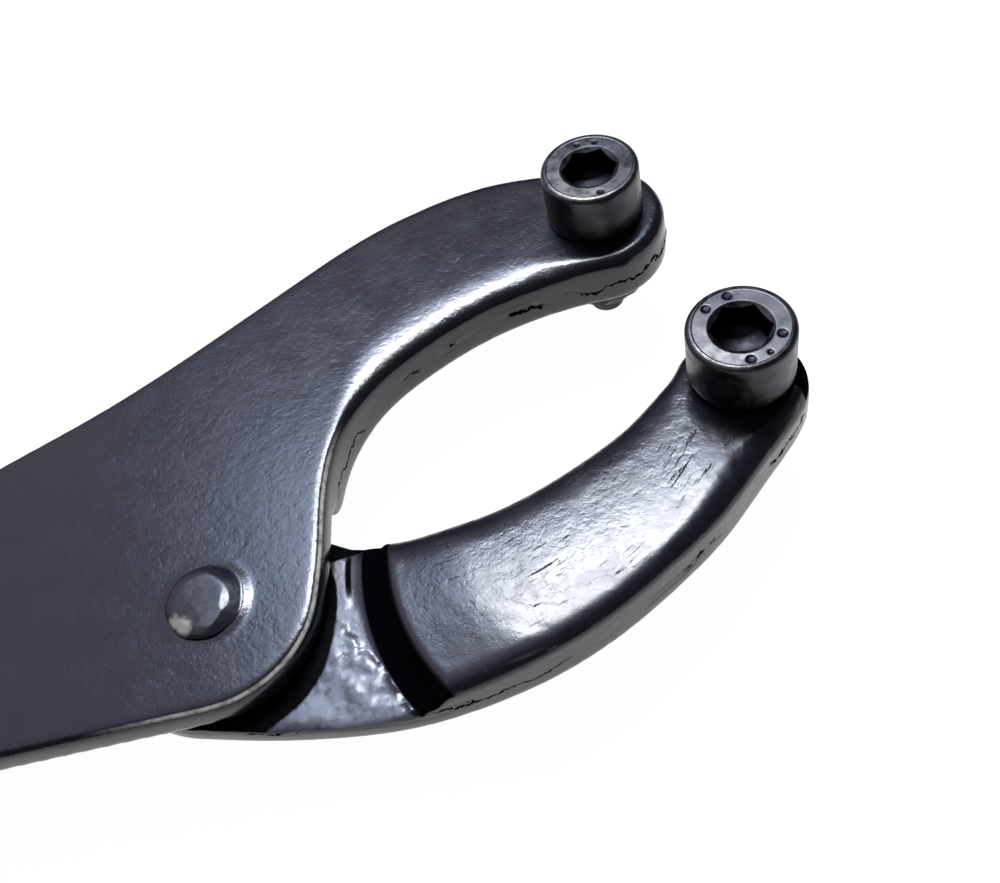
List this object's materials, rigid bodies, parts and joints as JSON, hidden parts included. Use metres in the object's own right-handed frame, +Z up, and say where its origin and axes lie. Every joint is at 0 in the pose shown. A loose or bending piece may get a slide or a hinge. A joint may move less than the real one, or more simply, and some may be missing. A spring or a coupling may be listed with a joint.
{
  "type": "adjustable pin wrench for case backs",
  "caption": "Adjustable pin wrench for case backs: flat forged handle with a curved fixed arm, a riveted hinged arm, and a screw-clamped pin under each tip.",
  "frame": {"origin": "on the hinge rivet's axis, at the flat underside of the forgings", "axes": "+X from the handle towards the arms' mouth, +Z up towards the screw heads, so the pins point to -Z; +Y towards the fixed arm"},
  "size_m": [0.2076, 0.0545, 0.0204],
  "materials": {
    "black_forging": "black lacquer over a drop-forged skin, satin to gloss, fine pits",
    "rivet_steel": "blackened, hammered facets worn bright",
    "screw_steel": "black oxide, worn to grey on the rims",
    "pin_steel": "hardened and oil-blackened, turned"
  },
  "bodies": {
    "handle_body": {"handle": "black_forging", "hinge_rivet": "rivet_steel", "fixed_arm_screw": "screw_steel", "fixed_arm_pin": "pin_steel"},
    "hinged_arm_body": {"hinged_arm": "black_forging", "hinged_arm_screw": "screw_steel", "hinged_arm_pin": "pin_steel"}
  },
  "joints": [
    {"name": "arm_hinge", "type": "hinge", "parent": "handle_body", "child": "hinged_arm_body", "pos_m": [0, 0, 0], "axis": [0, 0, 1], "range_deg": [-60, 11]}
  ]
}
